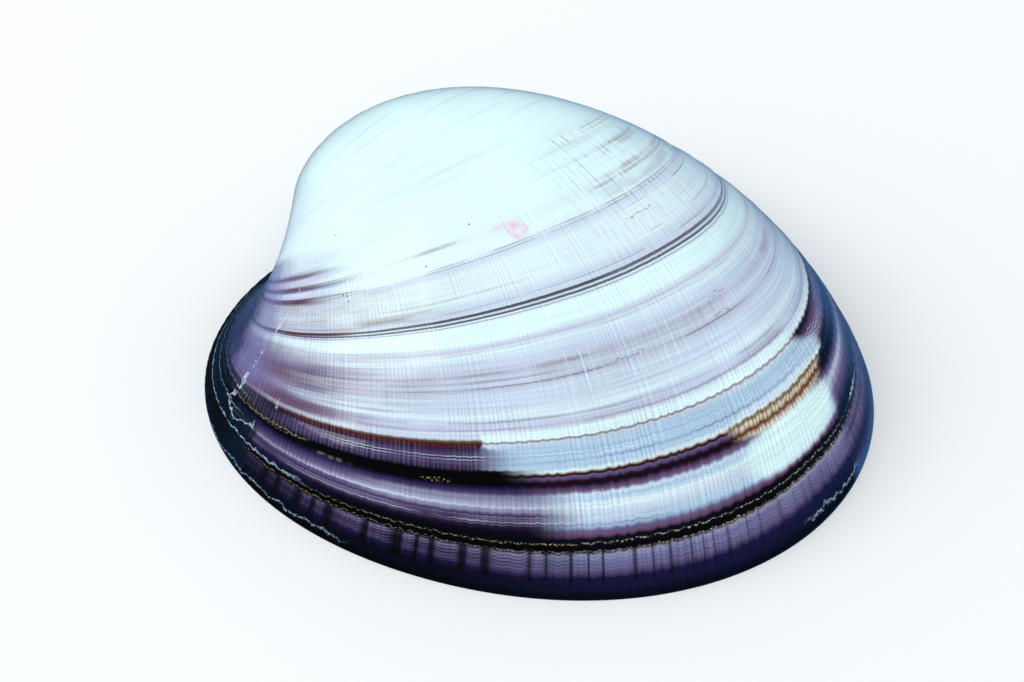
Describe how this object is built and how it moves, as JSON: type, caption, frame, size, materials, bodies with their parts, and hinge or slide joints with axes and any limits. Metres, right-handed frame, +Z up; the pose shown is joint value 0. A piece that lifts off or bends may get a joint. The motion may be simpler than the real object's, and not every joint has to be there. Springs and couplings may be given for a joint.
{
  "type": "clam shell valve",
  "caption": "Half of a smooth polished clam shell, hollow side down, with a curled beak, growth steps and an inner hinge plate.",
  "frame": {"origin": "centre of the valve's outline, in the plane of its edge that it rests on", "axes": "+X along the shell's length towards its rear end, +Y towards the hinge, +Z up through the domed outside"},
  "size_m": [0.0952, 0.088, 0.0342],
  "materials": {
    "polished_shell": "polished shell, pale at the beak and banded in violet, brown and blue-black towards the edge"
  },
  "bodies": {
    "root": {"valve": "polished_shell"}
  },
  "joints": []
}
